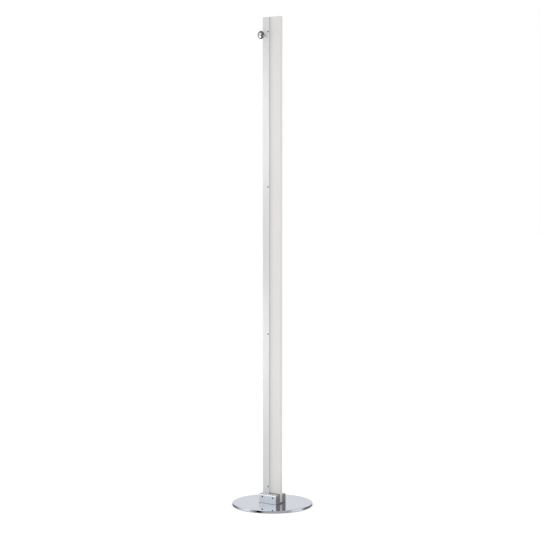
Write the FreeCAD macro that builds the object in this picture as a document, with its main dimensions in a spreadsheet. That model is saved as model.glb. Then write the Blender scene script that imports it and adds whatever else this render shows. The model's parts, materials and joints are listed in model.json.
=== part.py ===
import FreeCAD, Part
import math
import os
import Sketcher

# Free-standing display blade: a tall off-white panel in an aluminium edge rail, clamped in a
# slotted aluminium block on a chromed steel disc, with a screw-on hanging knob near the top.
# Frame: millimetres, origin at the centre of the foot pad's underside, +Z up, +X along the
# blade's width from the rail to the free edge, -Y out of the face that carries the screws.

doc = FreeCAD.newDocument("display_blade")

# ---------------------------------------------------------------- driving dimensions
DIMENSIONS = [
    ("overall_height", 1822, "floor to the top of the blade"),
    ("disc_diameter", 300, "chromed base disc"),
    ("disc_thickness", 8, "chromed base disc"),
    ("disc_edge_radius", 0.8, "rounding of the disc's rim"),
    ("pad_diameter", 286, "anti-slip pad under the disc"),
    ("pad_thickness", 1.5, "anti-slip pad under the disc"),
    ("block_length", 78, "clamp block, along X"),
    ("block_width", 64, "clamp block, along Y"),
    ("block_height", 34.5, "clamp block above the disc"),
    ("block_floor", 3.5, "web under the slot"),
    ("block_edge_radius", 6, "rounded outer top edges of the block"),
    ("slot_edge_radius", 1.5, "rounded top edges of the slot"),
    ("block_end_chamfer", 0.5, "bevel of the block's end faces"),
    ("block_foot_chamfer", 0.7, "bevel of the block's long bottom edges"),
    ("slot_clearance", 0.2, "slot width over the rail's depth"),
    ("blade_offset", 2.4, "the blade's middle plane behind the block's middle plane"),
    ("floor_pad_thickness", 1.5, "rubber strip on the slot's floor"),
    ("floor_pad_inset", 0.5, "strip's ends in from the block's ends"),
    ("rail_width", 30, "edge rail, along X"),
    ("rail_depth", 19, "edge rail, along Y"),
    ("rail_wall", 1.5, "wall of the extrusion"),
    ("rail_corner_radius", 0.6, "outer corners of the extrusion"),
    ("chamber_width", 12, "hollow chamber, along X"),
    ("panel_thickness", 15, "blade panel"),
    ("panel_edge_gap", 0.5, "between the panel's hidden edge and the channel's floor"),
    ("panel_chamfer", 0.8, "bevel of the panel's free edges"),
    ("gasket_setback", 1.2, "gaskets in from the channel's mouth"),
    ("gasket_overrun", 8, "front gasket past the outer panel screws"),
    ("end_cap_thickness", 2, "plate on the rail's top end"),
    ("end_cap_plug_length", 12, "plug in the rail's chamber"),
    ("end_cap_notch_gap", 0.15, "round the panel's edge"),
    ("plug_clearance", 0.1, "plugs in the chamber, each side"),
    ("foot_insert_length", 45, "solid bar in the chamber's foot"),
    ("front_shim_rise", 0.9, "front shim above the top of the block"),
    ("back_shim_inset", 5, "back shim below the top of the block"),
    ("panel_screw_reach", 850, "outer panel screws from the blade's middle"),
    ("panel_screw_inner_reach", 275, "inner panel screws from the blade's middle"),
    ("panel_screw_inset", 5.2, "screw line in from the channel's mouth"),
    ("tip_bevel_share", 0.2, "bevel of a screw's ends, as a share of its radius"),
    ("panel_screw_radius", 1.5, "M3"),
    ("panel_screw_head_radius", 2.9, "countersunk head"),
    ("panel_screw_length", 13, "overall"),
    ("panel_screw_hole_radius", 1.7, "clearance hole in the rail and the gasket"),
    ("panel_screw_socket_radius", 1.15, "hexagon, across corners / 2"),
    ("panel_screw_socket_depth", 1.1, "hexagon"),
    ("clamp_screw_spacing", 47.3, "along X"),
    ("clamp_screw_rise", 23.6, "above the disc"),
    ("clamp_screw_radius", 3, "M6 set screw"),
    ("clamp_screw_length", 20, "overall"),
    ("clamp_screw_socket_radius", 1.73, "hexagon, across corners / 2"),
    ("clamp_screw_socket_depth", 3.5, "hexagon"),
    ("clamp_mouth_chamfer", 0.6, "bevel at the mouth of the threaded holes"),
    ("pressure_pad_radius", 2.6, "brass tip pad"),
    ("pressure_pad_thickness", 2, "brass tip pad"),
    ("base_screw_pitch_x", 52, "countersunk screws under the disc, along X"),
    ("base_screw_pitch_y", 42, "countersunk screws under the disc, along Y"),
    ("base_screw_radius", 4, "M8"),
    ("base_screw_head_radius", 7.9, "countersunk head"),
    ("base_screw_length", 20, "overall"),
    ("base_screw_hole_radius", 4.5, "clearance hole in the disc"),
    ("base_screw_socket_radius", 2.88, "hexagon, across corners / 2"),
    ("base_screw_socket_depth", 3, "hexagon"),
    ("base_thread_depth", 14, "threaded hole in the block"),
    ("knob_drop", 67, "knob axis below the top of the blade"),
    ("insert_flange_radius", 5.6, "rivet nut in the rail's face"),
    ("insert_flange_thickness", 1, "rivet nut"),
    ("insert_body_radius", 4.4, "rivet nut"),
    ("insert_bulge_radius", 5.5, "rivet nut's set collar behind the wall"),
    ("insert_bulge_length", 3, "rivet nut's set collar"),
    ("insert_length", 11, "rivet nut behind the rail's face"),
    ("stud_radius", 3, "M6 stud"),
    ("stud_reach", 15, "stud behind the rail's face"),
    ("stud_seat", 11, "stud inside the neck"),
    ("stud_chamfer", 0.6, "stud's ends"),
    ("thread_clearance", 0.05, "stud in the rivet nut, on the radius"),
    ("washer_radius", 7, "thrust washer"),
    ("washer_thickness", 1.5, "thrust washer"),
    ("washer_clearance", 0.08, "washer on the neck's pilot, on the radius"),
    ("pilot_radius", 4, "neck's pilot, which carries the washer"),
    ("pilot_length", 1.2, "neck's pilot"),
    ("neck_radius", 5, "knob neck"),
    ("neck_length", 17.5, "knob neck"),
    ("neck_chamfer", 0.4, "knob neck's inner end"),
    ("spigot_radius", 3.8, "neck's spigot in the head"),
    ("spigot_length", 4, "neck's spigot in the head"),
    ("head_radius", 15, "knob head"),
    ("head_rim_thickness", 2.2, "knob head's straight rim"),
    ("head_edge_radius", 0.7, "rounded edges of the rim"),
    ("dome_rise", 4.6, "knob head's dome over the rim"),
]

sheet = doc.addObject("Spreadsheet::Sheet", "Dims")
for row, (alias, number, note) in enumerate(DIMENSIONS, start=1):
    sheet.set("A%d" % row, alias)
    sheet.set("B%d" % row, str(number))
    sheet.set("C%d" % row, note)
    sheet.setAlias("B%d" % row, alias)
doc.recompute()


def dim(text):
    """Turns words in braces into references to the sheet: {rail_wall} * 2."""
    return text.replace("{", "Dims.").replace("}", "")


# ---------------------------------------------------------------- derived places, as expressions
DISC_TOP = "({pad_thickness} + {disc_thickness})"
BLOCK_TOP = "(" + DISC_TOP + " + {block_height})"
SLOT_FLOOR = "(" + DISC_TOP + " + {block_floor})"
BLADE_FOOT = "(" + SLOT_FLOOR + " + {floor_pad_thickness})"
BLADE_MIDDLE = "((" + BLADE_FOOT + " + {overall_height}) / 2)"
RAIL_TOP = "({overall_height} - {end_cap_thickness})"
RAIL_LEFT = "(-{block_length} / 2)"
RAIL_MOUTH = "(" + RAIL_LEFT + " + {rail_width})"
RAIL_FRONT = "({blade_offset} - {rail_depth} / 2)"
RAIL_BACK = "({blade_offset} + {rail_depth} / 2)"
CHAMBER_LEFT = "(" + RAIL_LEFT + " + {rail_wall})"
CHAMBER_RIGHT = "(" + CHAMBER_LEFT + " + {chamber_width})"
CHANNEL_FLOOR = "(" + CHAMBER_RIGHT + " + {rail_wall})"
INNER_FRONT = "(" + RAIL_FRONT + " + {rail_wall})"
INNER_BACK = "(" + RAIL_BACK + " - {rail_wall})"
PANEL_LEFT = "(" + CHANNEL_FLOOR + " + {panel_edge_gap})"
PANEL_FRONT = "({blade_offset} - {panel_thickness} / 2)"
PANEL_BACK = "({blade_offset} + {panel_thickness} / 2)"
BLOCK_END = "({block_length} / 2)"
SLOT_FRONT = "(" + RAIL_FRONT + " - {slot_clearance})"
CLAMP_HEIGHT = "(" + DISC_TOP + " + {clamp_screw_rise})"
CLAMP_TIP = "(" + RAIL_FRONT + " - {pressure_pad_thickness})"
CLAMP_HEAD = "(" + CLAMP_TIP + " - {clamp_screw_length})"
SCREW_LINE = "(" + RAIL_MOUTH + " - {panel_screw_inset})"
KNOB_X = "((" + CHAMBER_LEFT + " + " + CHAMBER_RIGHT + ") / 2)"
KNOB_Z = "({overall_height} - {knob_drop})"
NECK_START = "({insert_flange_thickness} + {washer_thickness})"
HEAD_START = "(" + NECK_START + " + {neck_length})"
HEAD_RIM_TOP = "(" + HEAD_START + " + {head_rim_thickness})"

FULL_TURN = 360
ACROSS = FreeCAD.Vector(1, 0, 0)
OUTWARD = FreeCAD.Rotation(ACROSS, FULL_TURN / 4)     # local +Z points along -Y
INWARD = FreeCAD.Rotation(ACROSS, -FULL_TURN / 4)     # local +Z points along +Y
UPWARD = FreeCAD.Rotation()

SIGNS = (-1, 1)
HEXAGON_SIDES = 6
NEAR = 0.01                       # millimetres within which two places count as the same
PARALLEL = 1e-6                   # how far a unit direction may be from an axis
LINE_START, LINE_END, CENTRE = 1, 2, 3     # the points of a sketch element
SKETCH_ORIGIN = (-1, 1)           # a sketch's own origin, as an element and its point
UNSET = 1.0                       # a constraint's value until its expression sets it
NODES = []


# ---------------------------------------------------------------- helpers
def place(obj, x_at, y_at, z_at, rotation=UPWARD):
    """Turns an object and binds its position to the sheet."""
    obj.Placement = FreeCAD.Placement(FreeCAD.Vector(), rotation)
    for axis, text in zip("xyz", (x_at, y_at, z_at)):
        obj.setExpression("Placement.Base." + axis, dim(text))
    return obj


def primitive(kind, name, sizes):
    """A Part primitive with every size bound to the sheet."""
    obj = doc.addObject("Part::" + kind, name)
    for prop, text in sizes.items():
        obj.setExpression(prop, dim(text))
    return obj


def box(name, low, high):
    """A box between two corners, each given as three expressions."""
    spans = ["(%s) - (%s)" % (top, bottom) for bottom, top in zip(low, high)]
    obj = primitive("Box", name, dict(zip(("Length", "Width", "Height"), spans)))
    return place(obj, *low)


def cylinder(name, radius, height, at, rotation=UPWARD):
    return place(primitive("Cylinder", name, {"Radius": radius, "Height": height}), *at, rotation)


def cone(name, radius_one, radius_two, height, at, rotation=UPWARD):
    sizes = {"Radius1": radius_one, "Radius2": radius_two, "Height": height}
    return place(primitive("Cone", name, sizes), *at, rotation)


def hexagon(name, circumradius, height, at, rotation=UPWARD):
    obj = primitive("Prism", name, {"Circumradius": circumradius, "Height": height})
    obj.Polygon = HEXAGON_SIDES
    return place(obj, *at, rotation)


def cut(name, base, tools):
    """The base with every tool taken out of it."""
    if len(tools) > 1:
        tool = doc.addObject("Part::Compound", name + "_tools")
        tool.Links = tools
    else:
        tool = tools[0]
    obj = doc.addObject("Part::Cut", name)
    obj.Base = base
    obj.Tool = tool
    return obj


def group(name, members):
    """Identical pieces in one node, each its own solid."""
    obj = doc.addObject("Part::Compound", name)
    obj.Links = members
    return obj


def node(obj, label):
    """Records an object as a sub-part and labels it with its node's name."""
    obj.Label = label
    NODES.append(obj)
    return obj


def new_body(name):
    return doc.addObject("PartDesign::Body", name)


def new_sketch(body, name, role, offset="0"):
    """A sketch on one of the body's origin planes, moved along the plane's normal."""
    sketch = body.newObject("Sketcher::SketchObject", name)
    plane = next(item for item in body.Origin.OriginFeatures if item.Role == role)
    sketch.AttachmentSupport = [(plane, "")]
    sketch.MapMode = "FlatFace"
    sketch.setExpression("AttachmentOffset.Base.z", dim(offset))
    return sketch


def bind_point(sketch, geometry, end, across, along):
    """Holds one end of a sketch element at a pair of coordinates from the sheet."""
    for kind, text in (("DistanceX", across), ("DistanceY", along)):
        constraint = Sketcher.Constraint(kind, *SKETCH_ORIGIN, geometry, end, UNSET)
        index = sketch.addConstraint(constraint)
        sketch.setExpression("Constraints[%d]" % index, dim(text))


def draw_outline(sketch, points):
    """A closed outline of straight lines whose corners are bound to the sheet."""
    first = sketch.GeometryCount
    count = len(points)
    turn = FreeCAD.Rotation(FreeCAD.Vector(0, 0, 1), FULL_TURN / count)
    corner = ACROSS
    for _ in points:
        following = turn.multVec(corner)
        sketch.addGeometry(Part.LineSegment(corner, following), False)
        corner = following
    for step in range(count):
        line = first + step
        next_line = first + (step + 1) % count
        sketch.addConstraint(Sketcher.Constraint("Coincident", line, LINE_END, next_line, LINE_START))
        bind_point(sketch, line, LINE_START, *points[step])


def draw_rectangle(sketch, left, right, bottom, top):
    draw_outline(sketch, [(left, bottom), (right, bottom), (right, top), (left, top)])


def draw_circle(sketch, radius, across, along):
    """A circle with its radius and centre bound to the sheet."""
    circle = Part.Circle(FreeCAD.Vector(), FreeCAD.Vector(0, 0, 1), UNSET)
    index = sketch.addGeometry(circle, False)
    size = sketch.addConstraint(Sketcher.Constraint("Radius", index, UNSET))
    sketch.setExpression("Constraints[%d]" % size, dim(radius))
    bind_point(sketch, index, CENTRE, across, along)


def pad(body, sketch, length, symmetric=False):
    feature = body.newObject("PartDesign::Pad", sketch.Name + "_pad")
    feature.Profile = sketch
    feature.setExpression("Length", dim(length))
    if symmetric:
        feature.SideType = "Symmetric"
    doc.recompute()
    return feature


def pocket(body, sketch, length, backwards=False):
    """A pocket that has to remove material."""
    before = body.Shape.Volume
    feature = body.newObject("PartDesign::Pocket", sketch.Name + "_pocket")
    feature.Profile = sketch
    feature.setExpression("Length", dim(length))
    feature.Reversed = backwards
    doc.recompute()
    if body.Shape.Volume >= before:
        raise RuntimeError(sketch.Name + " removes nothing")
    return feature


def turned(name, profile, at, rotation=UPWARD):
    """A body of revolution: half of its section as (radius, height) pairs about local Z."""
    body = new_body(name)
    sketch = new_sketch(body, name + "_section", "XZ_Plane")
    draw_outline(sketch, profile)
    feature = body.newObject("PartDesign::Revolution", name + "_turned")
    feature.Profile = sketch
    feature.ReferenceAxis = (sketch, ["V_Axis"])
    doc.recompute()
    return place(body, *at, rotation)


def edge_names(shape, test):
    return ["Edge%d" % (i + 1) for i, edge in enumerate(shape.Edges) if test(edge)]


def dress(body, kind, size, test):
    """A fillet or chamfer on every edge of the body's tip that passes the test."""
    tip = body.Tip
    feature = body.newObject("PartDesign::" + kind, body.Name + "_" + kind.lower())
    feature.Base = (tip, edge_names(tip.Shape, test))
    feature.setExpression("Radius" if kind == "Fillet" else "Size", dim(size))
    doc.recompute()
    return feature


def runs_along(edge, axis):
    """True for a straight edge parallel to one of the axes x, y and z."""
    if not isinstance(edge.Curve, Part.Line):
        return False
    direction = edge.Curve.Direction
    return abs(abs(getattr(direction, axis)) - 1) < PARALLEL


def measure(name):
    """A driving dimension's number, for picking edges."""
    return float(sheet.get(name))


# ---------------------------------------------------------------- base
def corner_places():
    """The four base screws as pairs of expressions."""
    half_x = "{base_screw_pitch_x} / 2"
    half_y = "{base_screw_pitch_y} / 2"
    return [("%d * %s" % (sx, half_x), "%d * %s" % (sy, half_y)) for sx in SIGNS for sy in SIGNS]


def make_base_pad():
    body = new_body("base_pad")
    sketch = new_sketch(body, "pad_outline", "XY_Plane")
    draw_circle(sketch, "{pad_diameter} / 2", "0", "0")
    pad(body, sketch, "{pad_thickness}")
    node(body, "base_pad")


def make_base_plate():
    body = new_body("base_disc")
    sketch = new_sketch(body, "disc_outline", "XY_Plane", "{pad_thickness}")
    draw_circle(sketch, "{disc_diameter} / 2", "0", "0")
    pad(body, sketch, "{disc_thickness}")
    dress(body, "Fillet", "{disc_edge_radius}", lambda edge: len(edge.Vertexes) == 1)
    tools = []
    for number, (x_at, y_at) in enumerate(corner_places(), start=1):
        at = (x_at, y_at, "{pad_thickness}")
        depth = "{base_screw_head_radius} - {base_screw_radius}"
        name = "disc_hole_%d" % number
        tools.append(cone(name + "_sink", "{base_screw_head_radius}", "{base_screw_radius}", depth, at))
        tools.append(cylinder(name, "{base_screw_hole_radius}", "{disc_thickness}", at))
    plate = cut("base_plate", body, tools)
    node(plate, "base_plate")


def make_screw(name, at, rotation, kind):
    """A socket screw with a countersunk head, its head's face at local zero."""
    shank, head = "{%s_radius}" % kind, "{%s_head_radius}" % kind
    length = "{%s_length}" % kind
    tip_bevel = "(" + shank + " * {tip_bevel_share})"
    profile = [
        ("0", "0"),
        (head, "0"),
        (shank, head + " - " + shank),
        (shank, length + " - " + tip_bevel),
        (shank + " - " + tip_bevel, length),
        ("0", length),
    ]
    body = turned(name + "_blank", profile, at, rotation)
    socket = hexagon(name + "_socket", "{%s_socket_radius}" % kind, "{%s_socket_depth}" % kind,
                     at, rotation)
    return cut(name, body, [socket])


def make_base_screws():
    screws = []
    for number, (x_at, y_at) in enumerate(corner_places(), start=1):
        at = (x_at, y_at, "{pad_thickness}")
        screws.append(make_screw("base_screw_%d" % number, at, UPWARD, "base_screw"))
    node(group("base_screws", screws), "base_screws")


# ---------------------------------------------------------------- clamp block
def clamp_places():
    return ["%d * {clamp_screw_spacing} / 2" % sign for sign in SIGNS]


def make_clamp_block():
    body = new_body("block_extrusion")
    section = new_sketch(body, "block_section", "YZ_Plane")
    half = "{block_width} / 2"
    draw_outline(section, [
        ("-" + half, DISC_TOP),
        (half, DISC_TOP),
        (half, BLOCK_TOP),
        (RAIL_BACK, BLOCK_TOP),
        (RAIL_BACK, SLOT_FLOOR),
        (SLOT_FRONT, SLOT_FLOOR),
        (SLOT_FRONT, BLOCK_TOP),
        ("-" + half, BLOCK_TOP),
    ])
    pad(body, section, "{block_length}", symmetric=True)

    top = measure("pad_thickness") + measure("disc_thickness") + measure("block_height")
    outer = measure("block_width") / 2

    def is_top_edge(edge, outside):
        if not runs_along(edge, "x"):
            return False
        middle = edge.CenterOfMass
        return abs(middle.z - top) < NEAR and (abs(abs(middle.y) - outer) < NEAR) == outside

    dress(body, "Fillet", "{block_edge_radius}", lambda edge: is_top_edge(edge, True))
    dress(body, "Fillet", "{slot_edge_radius}", lambda edge: is_top_edge(edge, False))
    foot = top - measure("block_height")
    dress(body, "Chamfer", "{block_foot_chamfer}",
          lambda edge: runs_along(edge, "x") and abs(edge.CenterOfMass.z - foot) < NEAR)
    end = measure("block_length") / 2
    dress(body, "Chamfer", "{block_end_chamfer}",
          lambda edge: abs(abs(edge.CenterOfMass.x) - end) < NEAR and not runs_along(edge, "x"))

    threads = new_sketch(body, "clamp_threads", "XZ_Plane", half)
    for x_at in clamp_places():
        draw_circle(threads, "{clamp_screw_radius}", x_at, CLAMP_HEIGHT)
    pocket(body, threads, half + " + " + SLOT_FRONT)

    base_threads = new_sketch(body, "base_threads", "XY_Plane", DISC_TOP)
    for x_at, y_at in corner_places():
        draw_circle(base_threads, "{base_screw_radius}", x_at, y_at)
    pocket(body, base_threads, "{base_thread_depth}", backwards=True)

    mouths = []
    mouth_radius = "{clamp_screw_radius} + {clamp_mouth_chamfer}"
    for number, x_at in enumerate(clamp_places(), start=1):
        at = (x_at, "{clamp_mouth_chamfer} - " + half, CLAMP_HEIGHT)
        mouths.append(cone("clamp_mouth_%d" % number, "{clamp_screw_radius}", mouth_radius,
                           "{clamp_mouth_chamfer}", at, OUTWARD))
    node(cut("clamp_block", body, mouths), "clamp_block")


def make_clamp_screws():
    screws, tip_pads = [], []
    bevel = "{clamp_screw_radius} * {tip_bevel_share}"
    profile = [
        ("0", "0"),
        ("{clamp_screw_radius} - " + bevel, "0"),
        ("{clamp_screw_radius}", bevel),
        ("{clamp_screw_radius}", "{clamp_screw_length} - " + bevel),
        ("{clamp_screw_radius} - " + bevel, "{clamp_screw_length}"),
        ("0", "{clamp_screw_length}"),
    ]
    for number, x_at in enumerate(clamp_places(), start=1):
        name = "clamp_screw_%d" % number
        blank = turned(name + "_blank", profile, (x_at, CLAMP_TIP, CLAMP_HEIGHT), OUTWARD)
        socket_at = (x_at, CLAMP_HEAD + " + {clamp_screw_socket_depth}", CLAMP_HEIGHT)
        socket = hexagon(name + "_socket", "{clamp_screw_socket_radius}",
                         "{clamp_screw_socket_depth}", socket_at, OUTWARD)
        screws.append(cut(name, blank, [socket]))
        tip_pads.append(cylinder("pressure_pad_%d" % number, "{pressure_pad_radius}",
                                 "{pressure_pad_thickness}", (x_at, RAIL_FRONT, CLAMP_HEIGHT),
                                 OUTWARD))
    node(group("clamp_screws", screws), "clamp_screws")
    node(group("pressure_pads", tip_pads), "pressure_pads")


def make_slot_packing():
    inset = "{floor_pad_inset}"
    floor_pad = box("slot_floor_pad", (RAIL_LEFT + " + " + inset, RAIL_FRONT, SLOT_FLOOR),
                    (BLOCK_END + " - " + inset, RAIL_BACK, BLADE_FOOT))
    node(floor_pad, "slot_floor_pad")
    front_top = "(" + BLOCK_TOP + " + {front_shim_rise})"
    back_top = "(" + BLOCK_TOP + " - {back_shim_inset})"
    for label, near_y, far_y, top in (("front_shim", RAIL_FRONT, PANEL_FRONT, front_top),
                                      ("back_shim", PANEL_BACK, RAIL_BACK, back_top)):
        shim = box(label, (RAIL_MOUTH, near_y, BLADE_FOOT),
                   (BLOCK_END + " - " + inset, far_y, top))
        node(shim, label)


# ---------------------------------------------------------------- blade
def screw_heights():
    """The four panel screws, in pairs either side of the blade's middle."""
    reaches = ("{panel_screw_reach}", "{panel_screw_inner_reach}")
    return ["%s + %d * %s" % (BLADE_MIDDLE, sign, reach) for reach in reaches for sign in SIGNS]


def make_edge_rail():
    body = new_body("rail_extrusion")
    section = new_sketch(body, "rail_section", "XY_Plane", BLADE_FOOT)
    draw_outline(section, [
        (RAIL_LEFT, RAIL_FRONT),
        (RAIL_MOUTH, RAIL_FRONT),
        (RAIL_MOUTH, INNER_FRONT),
        (CHANNEL_FLOOR, INNER_FRONT),
        (CHANNEL_FLOOR, INNER_BACK),
        (RAIL_MOUTH, INNER_BACK),
        (RAIL_MOUTH, RAIL_BACK),
        (RAIL_LEFT, RAIL_BACK),
    ])
    draw_rectangle(section, CHAMBER_LEFT, CHAMBER_RIGHT, INNER_FRONT, INNER_BACK)
    pad(body, section, RAIL_TOP + " - " + BLADE_FOOT)

    left = -measure("block_length") / 2
    mouth = left + measure("rail_width")
    middle, half = measure("blade_offset"), measure("rail_depth") / 2

    def is_outer_corner(edge):
        at = edge.CenterOfMass
        on_end = min(abs(at.x - left), abs(at.x - mouth)) < NEAR
        return runs_along(edge, "z") and on_end and abs(abs(at.y - middle) - half) < NEAR

    dress(body, "Fillet", "{rail_corner_radius}", is_outer_corner)

    tools = []
    head, shank = "{panel_screw_head_radius}", "{panel_screw_radius}"
    for number, z_at in enumerate(screw_heights(), start=1):
        sink_at = (SCREW_LINE, RAIL_FRONT + " + " + head + " - " + shank, z_at)
        tools.append(cone("rail_sink_%d" % number, shank, head, head + " - " + shank, sink_at,
                          OUTWARD))
        tools.append(cylinder("rail_hole_%d" % number, "{panel_screw_hole_radius}", "{rail_wall}",
                              (SCREW_LINE, INNER_FRONT, z_at), OUTWARD))
    tools.append(cylinder("rail_insert_hole", "{insert_body_radius}", "{rail_wall}",
                          (KNOB_X, INNER_FRONT, KNOB_Z), OUTWARD))
    node(cut("edge_rail", body, tools), "edge_rail")


def make_blade_panel():
    body = new_body("panel_sheet")
    section = new_sketch(body, "panel_section", "XY_Plane", BLADE_FOOT)
    draw_rectangle(section, PANEL_LEFT, BLOCK_END, PANEL_FRONT, PANEL_BACK)
    pad(body, section, "{overall_height} - " + BLADE_FOOT)
    free_edge = measure("block_length") / 2
    dress(body, "Chamfer", "{panel_chamfer}",
          lambda edge: runs_along(edge, "z") and abs(edge.CenterOfMass.x - free_edge) < NEAR)
    bites = []
    depth = RAIL_FRONT + " + {panel_screw_length} - " + PANEL_FRONT
    for number, z_at in enumerate(screw_heights(), start=1):
        at = (SCREW_LINE, RAIL_FRONT + " + {panel_screw_length}", z_at)
        bites.append(cylinder("panel_hole_%d" % number, "{panel_screw_radius}", depth, at, OUTWARD))
    node(cut("blade_panel", body, bites), "blade_panel")


def make_panel_screws():
    screws = []
    for number, z_at in enumerate(screw_heights(), start=1):
        at = (SCREW_LINE, RAIL_FRONT, z_at)
        screws.append(make_screw("panel_screw_%d" % number, at, INWARD, "panel_screw"))
    node(group("panel_screws", screws), "panel_screws")


def make_gaskets():
    side = RAIL_MOUTH + " - {gasket_setback}"
    reach = "({panel_screw_reach} + {gasket_overrun})"
    strip = box("front_gasket_strip", (CHANNEL_FLOOR, INNER_FRONT, BLADE_MIDDLE + " - " + reach),
                (side, PANEL_FRONT, BLADE_MIDDLE + " + " + reach))
    holes = []
    for number, z_at in enumerate(screw_heights(), start=1):
        holes.append(cylinder("gasket_hole_%d" % number, "{panel_screw_hole_radius}",
                              PANEL_FRONT + " - " + INNER_FRONT, (SCREW_LINE, PANEL_FRONT, z_at),
                              OUTWARD))
    node(cut("front_gasket", strip, holes), "front_gasket")
    back = box("back_gasket", (CHANNEL_FLOOR, PANEL_BACK, BLADE_FOOT), (side, INNER_BACK, RAIL_TOP))
    node(back, "back_gasket")


def make_chamber_plugs():
    gap = "{plug_clearance}"
    low_x, high_x = CHAMBER_LEFT + " + " + gap, CHAMBER_RIGHT + " - " + gap
    low_y, high_y = INNER_FRONT + " + " + gap, INNER_BACK + " - " + gap
    insert = box("foot_insert", (low_x, low_y, BLADE_FOOT),
                 (high_x, high_y, BLADE_FOOT + " + {foot_insert_length}"))
    node(insert, "foot_insert")

    body = new_body("rail_end_cap")
    notch = "{end_cap_notch_gap}"
    plate = new_sketch(body, "cap_outline", "XY_Plane", RAIL_TOP)
    draw_outline(plate, [
        (RAIL_LEFT, RAIL_FRONT),
        (RAIL_MOUTH, RAIL_FRONT),
        (RAIL_MOUTH, PANEL_FRONT + " - " + notch),
        (PANEL_LEFT + " - " + notch, PANEL_FRONT + " - " + notch),
        (PANEL_LEFT + " - " + notch, PANEL_BACK + " + " + notch),
        (RAIL_MOUTH, PANEL_BACK + " + " + notch),
        (RAIL_MOUTH, RAIL_BACK),
        (RAIL_LEFT, RAIL_BACK),
    ])
    pad(body, plate, "{end_cap_thickness}")
    plug = new_sketch(body, "cap_plug", "XY_Plane", RAIL_TOP + " - {end_cap_plug_length}")
    draw_rectangle(plug, low_x, high_x, low_y, high_y)
    pad(body, plug, "{end_cap_plug_length}")
    node(body, "rail_end_cap")


# ---------------------------------------------------------------- hanging knob
# Local height runs out of the rail's face, along -Y, from zero at the face.
KNOB_AT = (KNOB_X, RAIL_FRONT, KNOB_Z)


def make_knob_insert():
    bore = "{stud_radius} + {thread_clearance}"
    node(turned("knob_insert", [
        (bore, "-{insert_length}"),
        ("{insert_body_radius}", "-{insert_length}"),
        ("{insert_body_radius}", "-{rail_wall} - {insert_bulge_length}"),
        ("{insert_bulge_radius}", "-{rail_wall} - {insert_bulge_length}"),
        ("{insert_bulge_radius}", "-{rail_wall}"),
        ("{insert_body_radius}", "-{rail_wall}"),
        ("{insert_body_radius}", "0"),
        ("{insert_flange_radius}", "0"),
        ("{insert_flange_radius}", "{insert_flange_thickness}"),
        (bore, "{insert_flange_thickness}"),
    ], KNOB_AT, OUTWARD), "knob_insert")


def make_thrust_washer():
    bore = "{pilot_radius} + {washer_clearance}"
    node(turned("thrust_washer", [
        (bore, "{insert_flange_thickness}"),
        ("{washer_radius}", "{insert_flange_thickness}"),
        ("{washer_radius}", NECK_START),
        (bore, NECK_START),
    ], KNOB_AT, OUTWARD), "thrust_washer")


def make_knob_stud():
    inner, outer = "-{stud_reach}", "(" + NECK_START + " + {stud_seat})"
    tip = "{stud_radius} - {stud_chamfer}"
    node(turned("knob_stud", [
        ("0", inner),
        (tip, inner),
        ("{stud_radius}", inner + " + {stud_chamfer}"),
        ("{stud_radius}", outer + " - {stud_chamfer}"),
        (tip, outer),
        ("0", outer),
    ], KNOB_AT, OUTWARD), "knob_stud")


def make_knob_neck():
    pilot_end = NECK_START + " - {pilot_length}"
    seat_end = NECK_START + " + {stud_seat}"
    spigot_end = HEAD_START + " + {spigot_length}"
    node(turned("knob_neck", [
        ("{stud_radius}", pilot_end),
        ("{pilot_radius}", pilot_end),
        ("{pilot_radius}", NECK_START),
        ("{neck_radius} - {neck_chamfer}", NECK_START),
        ("{neck_radius}", NECK_START + " + {neck_chamfer}"),
        ("{neck_radius}", HEAD_START),
        ("{spigot_radius}", HEAD_START),
        ("{spigot_radius}", spigot_end),
        ("0", spigot_end),
        ("0", seat_end),
        ("{stud_radius}", seat_end),
    ], KNOB_AT, OUTWARD), "knob_neck")


def make_knob_head():
    """A chromed button: the part of a rimmed disc that lies inside a large sphere, and a bore."""
    height = "{head_rim_thickness} + {dome_rise}"
    ball_radius = "(({head_radius}^2 + {dome_rise}^2) / (2 * {dome_rise}))"
    disc = cylinder("head_disc", "{head_radius}", height,
                    (KNOB_X, RAIL_FRONT + " - " + HEAD_START, KNOB_Z), OUTWARD)
    ball_y = RAIL_FRONT + " - " + HEAD_RIM_TOP + " - {dome_rise} + " + ball_radius
    ball = place(primitive("Sphere", "head_ball", {"Radius": ball_radius}), KNOB_X, ball_y, KNOB_Z,
                 OUTWARD)
    button = doc.addObject("Part::Common", "head_button")
    button.Base = disc
    button.Tool = ball
    doc.recompute()
    rounded = doc.addObject("Part::Fillet", "head_rounded")
    rounded.Base = button
    radius = measure("head_edge_radius")
    rim_length = 2 * math.pi * measure("head_radius")
    rims = [i + 1 for i, edge in enumerate(button.Shape.Edges)
            if not edge.Degenerated and abs(edge.Length - rim_length) < NEAR]
    rounded.Edges = [(index, radius, radius) for index in rims]
    bore = cylinder("head_bore", "{spigot_radius}", "{spigot_length}",
                    (KNOB_X, RAIL_FRONT + " - " + HEAD_START, KNOB_Z), OUTWARD)
    node(cut("knob_head", rounded, [bore]), "knob_head")


# ---------------------------------------------------------------- build, check, export
def check_document():
    """Stops on any object or shape that did not come out whole."""
    doc.recompute()
    for obj in doc.Objects:
        if "Invalid" in obj.State or "Error" in obj.State:
            raise RuntimeError("%s failed: %s" % (obj.Name, obj.State))
    for obj in NODES:
        if obj.Shape.isNull() or not obj.Shape.isValid() or not obj.Shape.Solids:
            raise RuntimeError(obj.Label + " has no valid solid")


def export_nodes():
    os.makedirs("parts", exist_ok=True)
    for obj in NODES:
        obj.Shape.exportStep("parts/%s.step" % obj.Label)
        print("%-16s solids %d  volume %.1f mm3" % (obj.Label, len(obj.Shape.Solids),
                                                    obj.Shape.Volume))


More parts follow.
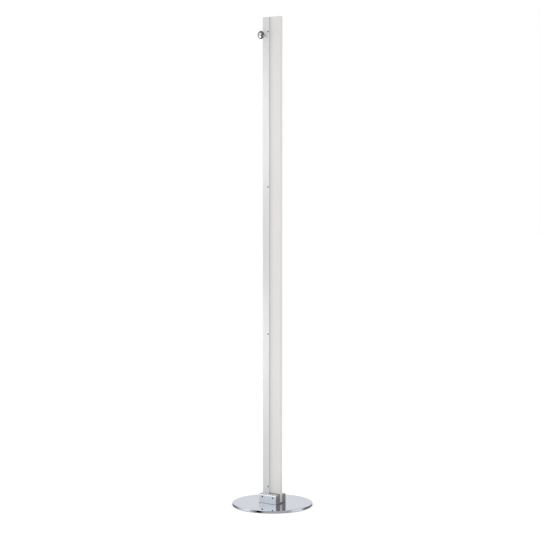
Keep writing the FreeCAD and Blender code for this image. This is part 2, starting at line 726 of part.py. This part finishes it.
make_base_pad()
make_base_plate()
make_base_screws()
make_clamp_block()
make_clamp_screws()
make_slot_packing()
make_edge_rail()
make_blade_panel()
make_panel_screws()
make_gaskets()
make_chamber_plugs()
make_knob_insert()
make_thrust_washer()
make_knob_stud()
make_knob_neck()
make_knob_head()
check_document()
export_nodes()
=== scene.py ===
import bmesh
import bpy
import json
import math
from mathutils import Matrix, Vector


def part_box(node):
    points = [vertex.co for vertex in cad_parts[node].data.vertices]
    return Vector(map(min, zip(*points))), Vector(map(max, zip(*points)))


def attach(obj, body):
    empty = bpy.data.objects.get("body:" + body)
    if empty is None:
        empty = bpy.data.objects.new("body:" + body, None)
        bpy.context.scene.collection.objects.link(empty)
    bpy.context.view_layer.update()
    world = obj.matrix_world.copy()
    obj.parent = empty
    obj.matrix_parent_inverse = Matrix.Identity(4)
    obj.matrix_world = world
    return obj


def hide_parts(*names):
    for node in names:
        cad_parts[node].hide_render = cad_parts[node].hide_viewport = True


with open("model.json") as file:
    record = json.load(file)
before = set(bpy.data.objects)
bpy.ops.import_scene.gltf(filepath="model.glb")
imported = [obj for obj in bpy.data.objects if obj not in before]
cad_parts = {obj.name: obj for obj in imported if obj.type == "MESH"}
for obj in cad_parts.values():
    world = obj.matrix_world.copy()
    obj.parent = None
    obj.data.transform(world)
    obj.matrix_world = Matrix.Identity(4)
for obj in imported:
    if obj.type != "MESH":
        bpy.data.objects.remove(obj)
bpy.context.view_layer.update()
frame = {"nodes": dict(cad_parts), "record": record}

# A free-standing display pole on a plain pale floor. Lengths are in metres.
nodes = frame["nodes"]

# ---------------------------------------------------------------- camera
# From the front right, a little above the middle of the blade, looking slightly down.
VIEW_AZIMUTH = math.radians(35.2)
VIEW_DISTANCE = 4.913
VIEW_HEIGHT = 1.0896
VIEW_PITCH = math.radians(2.40)
# How far to the left of the stand's axis the camera is aimed.
AIM_LEFT = 0.0087
# The lens and the sensor are in millimetres.
FOCAL_LENGTH = 87.8
SENSOR_WIDTH = 36
CLIP_START = 0.1
CLIP_END = 200

TOWARD_CAMERA = (math.sin(VIEW_AZIMUTH), -math.cos(VIEW_AZIMUTH), 0)
RIGHT_OF_CAMERA = (math.cos(VIEW_AZIMUTH), math.sin(VIEW_AZIMUTH), 0)
UP = (0, 0, 1)


def point_at(thing, place, aim):
    """Put a camera or lamp into the scene at one place, looking at another."""
    thing.location = place
    thing.rotation_mode = "QUATERNION"
    thing.rotation_quaternion = (Vector(aim) - Vector(place)).to_track_quat("-Z", "Y")
    bpy.context.scene.collection.objects.link(thing)


def make_camera():
    data = bpy.data.cameras.new("camera")
    data.lens = FOCAL_LENGTH
    data.sensor_width = SENSOR_WIDTH
    data.clip_start = CLIP_START
    data.clip_end = CLIP_END
    camera = bpy.data.objects.new("camera", data)
    place = Vector(TOWARD_CAMERA) * VIEW_DISTANCE + Vector((0, 0, VIEW_HEIGHT))
    aim_height = VIEW_HEIGHT - VIEW_DISTANCE * math.tan(VIEW_PITCH)
    aim = Vector((0, 0, aim_height)) - Vector(RIGHT_OF_CAMERA) * AIM_LEFT
    point_at(camera, place, aim)
    bpy.context.scene.camera = camera


# ---------------------------------------------------------------- node helpers
class Tree:
    """A node tree with short calls for adding and joining nodes."""

    def __init__(self, owner):
        owner.use_nodes = True
        self.tree = owner.node_tree
        self.tree.nodes.clear()

    def feed(self, socket, value):
        """Link the socket to another one, or set it to a number, vector or colour."""
        if isinstance(value, bpy.types.NodeSocket):
            self.tree.links.new(value, socket)
        elif socket.type == "RGBA":
            socket.default_value = (*value, 1)
        else:
            socket.default_value = value

    def add(self, kind, inputs=None, **settings):
        item = self.tree.nodes.new("ShaderNode" + kind)
        for name, value in settings.items():
            setattr(item, name, value)
        for name, value in (inputs or {}).items():
            self.feed(item.inputs[name], value)
        return item

    def math(self, operation, first, second):
        return self.add("Math", {0: first, 1: second}, operation=operation).outputs[0]

    def dot(self, vector, direction):
        item = self.add("VectorMath", {0: vector}, operation="DOT_PRODUCT")
        item.inputs[1].default_value = Vector(direction).normalized()
        return item.outputs["Value"]

    def remap(self, value, low, high, new_low=0.0, new_high=1.0, smooth=True):
        item = self.add("MapRange", {
            "Value": value, "From Min": low, "From Max": high,
            "To Min": new_low, "To Max": new_high})
        item.interpolation_type = "SMOOTHSTEP" if smooth else "LINEAR"
        return item.outputs["Result"]

    def ramp(self, value, stops):
        item = self.add("ValToRGB", {"Fac": value})
        elements = item.color_ramp.elements
        while len(elements) < len(stops):
            elements.new(0.5)
        for element, (position, colour) in zip(elements, stops):
            element.position = position
            element.color = (*colour, 1)
        return item.outputs["Color"]

    def place(self, axis):
        """How far along an axis of the frame a point lies, in metres."""
        point = self.add("TexCoord").outputs["Object"]
        return self.add("SeparateXYZ", {"Vector": point}).outputs[axis]

    def noise(self, scale, detail=4.0, roughness=0.55):
        """Noise with a number of cells per metre, the same on each axis or one for each."""
        stretch = scale if isinstance(scale, tuple) else (scale, scale, scale)
        point = self.add("TexCoord").outputs["Object"]
        spread = self.add("Mapping", {"Vector": point, "Scale": stretch}).outputs["Vector"]
        item = self.add("TexNoise", {
            "Vector": spread, "Scale": 1.0, "Detail": detail, "Roughness": roughness})
        return item.outputs["Fac"]

    def bump(self, height, strength, distance, normal=None):
        inputs = {"Height": height, "Strength": strength, "Distance": distance}
        if normal is not None:
            inputs["Normal"] = normal
        return self.add("Bump", inputs).outputs["Normal"]

    def mix(self, factor, first, second, blend_type="MIX"):
        item = self.add("Mix", data_type="RGBA", blend_type=blend_type)
        for socket, value in ((item.inputs["Factor"], factor), (item.inputs[6], first),
                              (item.inputs[7], second)):
            self.feed(socket, value)
        return item.outputs[2]

    def finish(self, **sockets):
        """A Principled shader with its sockets set by name, an underscore for each space."""
        inputs = {name.replace("_", " "): value for name, value in sockets.items()}
        shader = self.add("BsdfPrincipled", inputs)
        output = self.add("OutputMaterial")
        self.tree.links.new(shader.outputs[0], output.inputs["Surface"])


finishes = {}


def new_material(name):
    """The node tree of a new material, which finishes keeps by its name."""
    finishes[name] = bpy.data.materials.new(name)
    return Tree(finishes[name])


def grey(value):
    return (value, value, value)


# ---------------------------------------------------------------- materials
# Noise scales are cells per metre, and bump depths are metres.
# A noise's values lie mostly in the middle stretch. The upper one leaves out its lowest part.
MIDDLE = (0.3, 0.7)
UPPER = (0.35, 0.7)


def mirror_chrome():
    """Polished plate with wiped smudges, fine dust and a faint wave in its face."""
    clean, smeared = (0.782, 0.795, 0.862), (0.752, 0.765, 0.828)
    polished, hazy, dusty = 0.02, 0.075, 0.03
    tree = new_material("mirror_chrome")
    smudge = tree.noise(9, detail=5, roughness=0.6)
    dust_and_shade = tree.noise(900, detail=2)
    wave = tree.noise(22, detail=1)
    colour = tree.mix(tree.remap(smudge, 0.35, 0.75), clean, smeared)
    rough = tree.math("ADD", tree.remap(smudge, 0.45, 0.8, polished, hazy),
                      tree.remap(dust_and_shade, 0.62, 0.8, 0.0, dusty))
    tree.finish(Base_Color=colour, Metallic=1.0, Roughness=rough,
                Normal=tree.bump(wave, 0.03, 0.0015))


def knob_chrome():
    """The knob's plate, with a fine haze from handling."""
    clean, hazy = (0.80, 0.80, 0.80), (0.73, 0.735, 0.74)
    tree = new_material("knob_chrome")
    haze = tree.noise(260)
    tree.finish(Base_Color=tree.mix(haze, clean, hazy), Metallic=1.0,
                Roughness=tree.remap(haze, 0.3, 0.8, 0.05, 0.12),
                Normal=tree.bump(haze, 0.04, 0.0002))


LINE_SHARE = 0.6
CLOUD_SHARE = 0.4
# Painted contact shade: near black in the seam where the block stands on the disc, fading out
# between these heights above its foot.
SEAM_SHADE = grey(0.03)
SEAM_CLEAR = 0.0008
SEAM_FULL = 0.0004


def drawn_aluminium(name, light, dark, lines_run, roughness, relief, metallic=1.0, foot=None):
    """Anodised aluminium whose fine lines run along the axis with the small scale.

    Painted shade darkens the seam at its foot, where a foot's height is given."""
    tree = new_material(name)
    lines = tree.noise(lines_run, detail=6, roughness=0.7)
    cloud = tree.noise((14, 14, 3), detail=3)
    grain = tree.noise(2600, detail=2)
    tone = tree.math("ADD", tree.math("MULTIPLY", lines, LINE_SHARE),
                     tree.math("MULTIPLY", cloud, CLOUD_SHARE))
    colour = tree.mix(tree.remap(tone, *MIDDLE), dark, light)
    # Painted shade: the seam at the foot is darkened to near black.
    if foot is not None:
        seam_shade_mask = tree.remap(tree.place("Z"), foot + SEAM_CLEAR, foot + SEAM_FULL)
        colour = tree.mix(seam_shade_mask, colour, SEAM_SHADE)
    rough = tree.remap(tone, *MIDDLE, roughness + 0.05, roughness - 0.03)
    normal = tree.bump(lines, relief, 0.0002)
    tree.finish(Base_Color=colour, Metallic=metallic, Roughness=rough,
                Normal=tree.bump(grain, 0.10, 0.00008, normal))


# Painted shade down in the block's slot, fading in between these heights about the block's top.
SLOT_SHADE_STRENGTH = 0.1
SLOT_CLEAR = 0.001
SLOT_DEEP = 0.004
# Painted shadow of the rail's step on the sheet, and how far from the rail's mouth it reaches.
RAIL_SHADOW = 0.23
RAIL_SHADOW_REACH = 0.020


def opal_sheet():
    """Off-white sheet, with painted shade down in the block's slot and a painted shadow beside the
    rail.
    """
    dull, bright, speckle = (0.735, 0.718, 0.704), (0.765, 0.753, 0.739), (0.62, 0.61, 0.59)
    # The next two colours are painted shade for the slot and a painted shadow beside the rail.
    slot_shade_colour, dust_and_shade = (0.20, 0.195, 0.185), (0.25, 0.235, 0.22)
    tree = new_material("panel_opal")
    cloud = tree.noise((7, 7, 2.2))
    peel = tree.noise(420, detail=3)
    speck = tree.noise(1500, detail=1)
    colour = tree.mix(tree.remap(cloud, *MIDDLE), dull, bright)
    colour = tree.mix(tree.remap(speck, 0.74, 0.82, 0.0, 0.25), colour, speckle)
    # Painted shade: the sheet darkens below the block's top, inside the slot.
    block_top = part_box("clamp_block")[1][2]
    slot_shade_mask = tree.remap(tree.place("Z"), block_top + SLOT_CLEAR, block_top - SLOT_DEEP)
    colour = tree.mix(tree.math("MULTIPLY", slot_shade_mask, SLOT_SHADE_STRENGTH), colour, slot_shade_colour)
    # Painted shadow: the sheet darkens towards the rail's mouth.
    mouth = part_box("edge_rail")[1][0]
    rail_shadow_mask = tree.remap(tree.place("X"), mouth + RAIL_SHADOW_REACH, mouth, smooth=False)
    colour = tree.mix(tree.math("MULTIPLY", rail_shadow_mask, RAIL_SHADOW), colour, dust_and_shade)
    tree.finish(Base_Color=colour, Roughness=tree.remap(cloud, *MIDDLE, 0.36, 0.46),
                Specular_IOR_Level=0.45, Normal=tree.bump(peel, 0.05, 0.0003))


def rubber(name, fresh, worn):
    """Moulded rubber with a fine grain, worn lighter in patches."""
    tree = new_material(name)
    grain = tree.noise(1800)
    wear = tree.noise(35)
    tree.finish(Base_Color=tree.mix(tree.remap(wear, 0.4, 0.75), grey(fresh), grey(worn)),
                Roughness=tree.remap(grain, *MIDDLE, 0.68, 0.86),
                Normal=tree.bump(grain, 0.35, 0.0002))


def small_metal(name, dark, light, scale, roughness, relief, metallic=1.0, detail=4.0):
    """Small metal parts whose one noise drives the tone, the gloss and the relief."""
    tree = new_material(name)
    bloom = tree.noise(scale, detail=detail)
    tree.finish(Base_Color=tree.mix(tree.remap(bloom, *UPPER), dark, light),
                Metallic=metallic, Roughness=tree.remap(bloom, *MIDDLE, *roughness),
                Normal=tree.bump(bloom, relief, 0.0001))


def nylon(name, dark, light):
    """Moulded plastic, slightly cloudy."""
    tree = new_material(name)
    cloud = tree.noise(260)
    tree.finish(Base_Color=tree.mix(tree.remap(cloud, *UPPER), dark, light),
                Roughness=tree.remap(cloud, *MIDDLE, 0.42, 0.55),
                Subsurface_Weight=0.15, Normal=tree.bump(cloud, 0.08, 0.0002))


def make_materials():
    """A material for each slot of the record, with the slot's name."""
    lengthwise = (1500, 1500, 6)
    crosswise = (8, 1700, 1700)
    over_the_top = (1200, 12, 1200)
    as_sawn = (900, 900, 20)
    turned_rings = (1500, 200, 1500)
    mirror_chrome()
    knob_chrome()
    drawn_aluminium("rail_aluminium", (0.85, 0.852, 0.858), (0.81, 0.812, 0.82), lengthwise,
                    roughness=0.45, relief=0.10, metallic=0.50)
    drawn_aluminium("block_aluminium", (0.775, 0.805, 0.84), (0.71, 0.74, 0.78), crosswise,
                    roughness=0.22, relief=0.14, metallic=0.85,
                    foot=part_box("clamp_block")[0][2])
    drawn_aluminium("cap_aluminium", (0.82, 0.83, 0.845), (0.74, 0.75, 0.77), over_the_top,
                    roughness=0.36, relief=0.10)
    drawn_aluminium("bare_aluminium", (0.72, 0.72, 0.73), (0.6, 0.6, 0.61), as_sawn,
                    roughness=0.42, relief=0.2)
    opal_sheet()
    rubber("pad_rubber", fresh=0.022, worn=0.045)
    rubber("grey_rubber", fresh=0.16, worn=0.22)
    small_metal("black_oxide", (0.018, 0.018, 0.020), (0.055, 0.054, 0.056), scale=900,
                roughness=(0.32, 0.5), relief=0.12, metallic=0.85)
    small_metal("zinc_steel", (0.46, 0.47, 0.48), (0.62, 0.62, 0.60), scale=700,
                roughness=(0.24, 0.42), relief=0.12, detail=5)
    small_metal("pad_brass", (0.58, 0.43, 0.18), (0.74, 0.58, 0.28), scale=turned_rings,
                roughness=(0.25, 0.4), relief=0.1)
    nylon("nylon_white", (0.74, 0.735, 0.70), (0.82, 0.815, 0.78))
    # The shims' black is partly their own colour and partly painted shade for the dark gap at the
    # panel's foot.
    nylon("shim_black", (0.022, 0.022, 0.024), (0.05, 0.05, 0.052))


def dress_cad_nodes():
    """Every CAD node takes its finish from the record."""
    for row in frame["record"]["subparts"]:
        for slot in nodes[row["node"]].material_slots:
            slot.material = finishes[row["material_slot"]]


# ---------------------------------------------------------------- studio
# What shiny faces see round the studio: degrees round from the camera's side, and brightness.
LOW_BAND = [
    (-180, 0.20), (-126, 0.20), (-112, 0.55), (-98, 0.82), (-84, 0.95), (-72, 0.96), (-65, 0.60),
    (-54, 0.34), (-48, 0.14), (-44, 0.01), (-34, 0.01), (-29, 0.20), (-25, 0.46), (34, 0.50),
    (45, 0.42), (53, 0.52), (62, 0.86), (84, 0.98), (94, 0.80), (101, 0.36), (108, 0.17),
    (120, 0.15), (180, 0.20)]
HIGH_BAND = [
    (-180, 0.80), (-166, 0.78), (-152, 0.15), (-118, 0.20), (-100, 0.84), (-60, 0.76), (-38, 0.14),
    (-6, 0.06), (8, 0.48), (45, 0.52), (76, 0.50), (96, 0.13), (124, 0.13), (142, 0.62),
    (166, 0.78), (180, 0.80)]
# Under the bands, over them, and straight overhead; then the one soft box on the left.
DEEP = 0.07
SKY = 0.15
ZENITH = 0.72
SOFT_BOX = 0.98
STUDIO_TINT = (0.965, 0.985, 1.0)

# Where one stretch gives way to the next. A level is the sine of a ray's rise.
INTO_DEEP = (-0.36, -0.56)
INTO_HIGH_BAND = (-0.04, 0.06)
INTO_SKY = (0.40, 0.62)
INTO_ZENITH = (0.93, 0.99)
# The soft box's four edges. A turn is a share of the way round, from behind the stand.
BOX_TURNS = ((0.20, 0.25), (0.37, 0.34))
BOX_LEVELS = ((0.20, 0.30), (0.54, 0.46))

BACKDROP = 1.0
AMBIENT = 0.75


def make_world():
    """White to the camera, one soft brightness to matt faces, and the bands to shiny ones."""
    world = bpy.data.worlds.new("studio")
    bpy.context.scene.world = world
    tree = Tree(world)
    path = tree.add("LightPath")
    ray = tree.add("TexCoord").outputs["Generated"]
    turn = tree.math("ARCTAN2", tree.dot(ray, RIGHT_OF_CAMERA), tree.dot(ray, TOWARD_CAMERA))
    turn = tree.remap(turn, -math.pi, math.pi, smooth=False)
    level = tree.dot(ray, UP)

    def band(stops):
        return tree.ramp(turn, [((angle + 180) / 360, grey(value)) for angle, value in stops])

    def between(value, edges):
        rising, falling = edges
        return tree.math("MULTIPLY", tree.remap(value, *rising), tree.remap(value, *falling))

    def background(colour, strength=1.0):
        return tree.add("Background", {"Color": colour, "Strength": strength}).outputs[0]

    def choose(ray_kind, otherwise, chosen):
        switch = tree.add("MixShader", {0: path.outputs[ray_kind], 1: otherwise, 2: chosen})
        return switch.outputs[0]

    low = tree.mix(tree.remap(level, *INTO_DEEP), band(LOW_BAND), grey(DEEP))
    high = tree.mix(tree.remap(level, *INTO_SKY), band(HIGH_BAND), grey(SKY))
    high = tree.mix(tree.remap(level, *INTO_ZENITH), high, grey(ZENITH))
    glow = tree.mix(tree.remap(level, *INTO_HIGH_BAND), low, high)
    box = tree.math("MULTIPLY", between(turn, BOX_TURNS), between(level, BOX_LEVELS))
    glow = tree.mix(box, glow, grey(SOFT_BOX))
    shine = background(tree.mix(1.0, glow, STUDIO_TINT, blend_type="MULTIPLY"))
    lit = choose("Is Glossy Ray", background(grey(1), AMBIENT), shine)
    view = choose("Is Camera Ray", lit, background(grey(1), BACKDROP))
    output = tree.add("OutputWorld")
    tree.tree.links.new(view, output.inputs["Surface"])


def area_light(name, place, aim, size, power, shines=False, spread=180):
    """A soft box. One that shines shows in reflections and lights nothing else."""
    data = bpy.data.lights.new(name, "AREA")
    data.shape = "RECTANGLE"
    data.size, data.size_y = size
    data.energy = power
    data.spread = math.radians(spread)
    lamp = bpy.data.objects.new(name, data)
    lamp.visible_camera = False
    lamp.visible_glossy = shines
    lamp.visible_diffuse = not shines
    point_at(lamp, place, aim)


def make_lights():
    """Places and sizes in metres, powers in watts, spreads in degrees."""
    middle = (0, 0, 1.10)
    area_light("edge_light", (-2.8, -0.75, 1.20), middle, (1.0, 1.8), 14.5)
    area_light("front_light", (1.50, -0.95, 1.15), middle, (0.5, 0.5), 3.8)
    area_light("low_box", (-0.60, -0.24, 0.88), (0, 0, 0.04), (0.55, 0.55), 0.10, shines=True,
               spread=60)
    for height in (1.46, 0.48):
        area_light("rail_lamp", (-0.48, -0.66, height), (0, 0, height), (0.30, 0.40), 0.52,
                   shines=True)
    area_light("foot_light", (0.16, -0.24, 0.10), (0, 0, 0.05), (0.08, 0.08), 0.013, spread=64)


FLOOR_REACH = 60
FLOOR_GLOW = 0.30


def make_floor():
    """Plain pale paper, which shiny pieces don't show."""
    mesh = bpy.data.meshes.new("floor")
    signs = ((-1, -1), (1, -1), (1, 1), (-1, 1))
    mesh.from_pydata([(x * FLOOR_REACH, y * FLOOR_REACH, 0) for x, y in signs], [], [(0, 1, 2, 3)])
    floor = bpy.data.objects.new("floor", mesh)
    bpy.context.scene.collection.objects.link(floor)
    tree = new_material("floor_paper")
    colour = tree.mix(tree.noise(0.8, detail=3), grey(0.96), grey(0.98))
    tree.finish(Base_Color=colour, Roughness=1.0, Specular_IOR_Level=0.0,
                Emission_Color=grey(1), Emission_Strength=FLOOR_GLOW)
    mesh.materials.append(finishes["floor_paper"])
    floor.visible_glossy = False


# ---------------------------------------------------------------- turned pieces
DISC_SIDES = 360
HEAD_SIDES = 128
NECK_SIDES = 96
CORNER_STEPS = 8
DOME_STEPS = 40
WAIST_STEPS = 24
SHARP_ANGLE = 35
ON_AXIS = 1e-9


def arc(centre, radius, start, end, steps=CORNER_STEPS):
    """Points (radius, height) along an arc of a turned profile, angles in degrees."""
    points = []
    for step in range(steps + 1):
        angle = math.radians(start + (end - start) * step / steps)
        points.append((centre[0] + radius * math.cos(angle), centre[1] + radius * math.sin(angle)))
    return points


def lathe(name, profile, base, axis, sides):
    """A closed turned piece. The profile starts and ends on the axis."""
    turn = Vector(axis).to_track_quat("Z", "Y").to_matrix()
    shape = bmesh.new()
    rings = []
    for radius, height in profile:
        ring = []
        points = 1 if radius < ON_AXIS else sides
        for step in range(points):
            angle = math.tau * step / sides
            local = Vector((radius * math.cos(angle), radius * math.sin(angle), height))
            ring.append(shape.verts.new(Vector(base) + turn @ local))
        rings.append(ring)
    for lower, upper in zip(rings, rings[1:]):
        for step in range(sides):
            following = (step + 1) % sides
            if len(lower) == 1:
                shape.faces.new((lower[0], upper[following], upper[step]))
            elif len(upper) == 1:
                shape.faces.new((lower[step], lower[following], upper[0]))
            else:
                shape.faces.new((lower[step], lower[following], upper[following], upper[step]))
    bmesh.ops.recalc_face_normals(shape, faces=shape.faces)
    return finish_mesh(name, shape)


def finish_mesh(name, shape):
    mesh = bpy.data.meshes.new(name)
    shape.to_mesh(mesh)
    shape.free()
    for face in mesh.polygons:
        face.use_smooth = True
    mesh.set_sharp_from_angle(angle=math.radians(SHARP_ANGLE))
    piece = bpy.data.objects.new(name, mesh)
    bpy.context.scene.collection.objects.link(piece)
    return piece


def stand_for(piece, node, body):
    """The piece takes a CAD node's place, body and finish."""
    row = next(row for row in frame["record"]["subparts"] if row["node"] == node)
    piece.data.materials.append(finishes[row["material_slot"]])
    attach(piece, body)
    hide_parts(node)


def make_base_disc():
    """The chromed disc with rounded edges. A narrow ring beside each keeps its face flat."""
    edge, ring = 0.0008, 0.0006
    low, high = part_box("base_plate")
    radius, bottom, top = high[0], low[2], high[2]
    profile = [(0, bottom), (radius - edge - ring, bottom)]
    profile += arc((radius - edge, bottom + edge), edge, -90, 0)
    profile += arc((radius - edge, top - edge), edge, 0, 90)
    profile += [(radius - edge - ring, top), (0, top)]
    disc = lathe("base_disc", profile, (0, 0, 0), UP, DISC_SIDES)
    stand_for(disc, "base_plate", "stand")


def make_foot_pad():
    """The rubber pad, with shallow grip rings in its underside."""
    edge, groove, depth, rings = 0.0003, 0.0016, 0.0005, 9
    low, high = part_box("base_pad")
    radius, top = high[0], high[2]
    profile = [(0, 0)]
    for ring in range(1, rings + 1):
        at = radius * ring / (rings + 1)
        profile += [(at - groove, 0), (at - groove / 2, depth), (at + groove / 2, depth),
                    (at + groove, 0)]
    profile += arc((radius - edge, edge), edge, -90, 0)
    profile += [(radius, top), (0, top)]
    pad = lathe("foot_pad", profile, (0, 0, 0), UP, DISC_SIDES)
    stand_for(pad, "base_pad", "stand")


OUT_OF_RAIL = (0, -1, 0)


def make_knob_head():
    """A rimmed button with a domed face, its edges rounded.

    Shiny faces don't see it, so that it leaves no dark smudge in the rail beside it."""
    edge, ring, rise = 0.0007, 0.0004, 0.0046
    corner_drop, dome_inset = edge * 0.45, edge * 0.6
    low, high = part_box("knob_head")
    radius, depth = (high[0] - low[0]) / 2, high[1] - low[1]
    rim = depth - rise
    ball = (radius ** 2 + rise ** 2) / (2 * rise)
    lean = math.degrees(math.asin(radius / ball))
    profile = [(0, 0), (radius / 2, 0), (radius - edge - ring, 0)]
    profile += arc((radius - edge, edge), edge, -90, 0)
    profile += arc((radius - edge, rim - corner_drop), edge, 0, 90 - lean)
    dome = arc((0, depth - ball), ball, 90 - lean, 90, DOME_STEPS)
    profile += [point for point in dome if point[0] < radius - dome_inset]
    profile[-1] = (0, depth)
    back = Vector(((low[0] + high[0]) / 2, high[1], (low[2] + high[2]) / 2))
    head = lathe("knob_button", profile, back, OUT_OF_RAIL, HEAD_SIDES)
    stand_for(head, "knob_head", "knob")
    head.visible_glossy = False


def make_knob_neck():
    """The neck, from the head's back to the washer, with a slight waist.

    It and the washer are hidden from shiny faces, as the head is."""
    bevel, waist, flare = 0.0004, 0.0009, 0.0022
    low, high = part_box("knob_neck")
    head_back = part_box("knob_head")[1][1]
    radius, length = (high[0] - low[0]) / 2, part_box("thrust_washer")[0][1] - head_back
    profile = [(0, 0), (radius - bevel, 0), (radius, bevel), (radius, flare)]
    for step in range(1, WAIST_STEPS):
        share = step / WAIST_STEPS
        height = flare + (length - 2 * flare) * share
        profile.append((radius - waist * math.sin(math.pi * share), height))
    profile += [(radius, length - flare), (radius, length), (0, length)]
    foot = Vector(((low[0] + high[0]) / 2, head_back + length, (low[2] + high[2]) / 2))
    neck = lathe("knob_shank", profile, foot, OUT_OF_RAIL, NECK_SIDES)
    stand_for(neck, "knob_neck", "knob")
    neck.visible_glossy = False
    nodes["thrust_washer"].visible_glossy = False


# ---------------------------------------------------------------- build
bpy.context.scene.view_settings.view_transform = "Standard"
bpy.context.scene.view_settings.look = "None"
make_camera()
make_world()
make_lights()
make_floor()
make_materials()
dress_cad_nodes()
make_base_disc()
make_foot_pad()
make_knob_head()
make_knob_neck()
